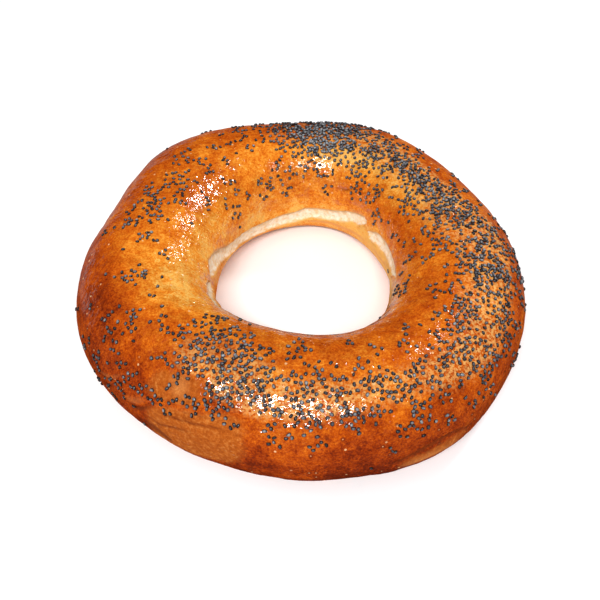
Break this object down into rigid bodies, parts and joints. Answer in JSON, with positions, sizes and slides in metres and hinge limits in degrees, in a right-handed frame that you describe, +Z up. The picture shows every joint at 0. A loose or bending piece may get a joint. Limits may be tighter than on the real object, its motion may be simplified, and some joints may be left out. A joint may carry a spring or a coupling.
{
  "type": "ring-shaped poppy seed bagel",
  "caption": "Ring-shaped baked bread roll with a round hole, a domed glossy crust sprinkled with poppy seeds and a flat underside to rest on.",
  "frame": {"origin": "middle of the ring's footprint, on the surface that its flat underside rests on", "axes": "+Z up through the hole, -Y towards the front of the ring, +X to its right"},
  "size_m": [0.1102, 0.1102, 0.0288],
  "materials": {
    "glazed_crust": "satin",
    "poppy_seed": "satin"
  },
  "bodies": {
    "root": {"baked_ring": "glazed_crust"}
  },
  "joints": []
}
